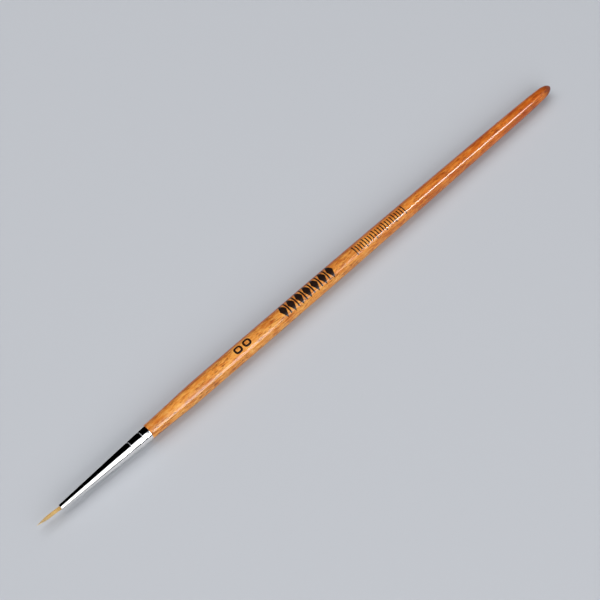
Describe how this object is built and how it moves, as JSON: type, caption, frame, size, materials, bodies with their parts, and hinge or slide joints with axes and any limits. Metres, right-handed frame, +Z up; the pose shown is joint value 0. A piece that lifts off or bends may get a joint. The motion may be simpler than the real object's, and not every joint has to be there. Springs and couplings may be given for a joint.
{
  "type": "detail paint brush",
  "caption": "Fine round detail brush: pointed hair tuft in a crimped tapered metal ferrule on a turned, lacquered wooden handle.",
  "frame": {"origin": "under the middle of the brush, on the surface that the handle's belly rests on", "axes": "+X along the brush from the hair tip to the handle's end, +Z up from the surface it lies on"},
  "size_m": [0.18, 0.005, 0.0049],
  "materials": {
    "lacquered_wood": "clear glossy lacquer over amber-stained hardwood",
    "plated_metal": "bright nickel plating on brass, polished",
    "tan_hair": "soft golden-tan hair, slightly glossy",
    "cotton_thread": "natural twisted cotton, matt",
    "amber_cement": "clear amber set cement"
  },
  "bodies": {
    "root": {"handle": "lacquered_wood", "ferrule": "plated_metal", "hair_tuft": "tan_hair", "binding_thread": "cotton_thread", "root_cement": "amber_cement"}
  },
  "joints": []
}
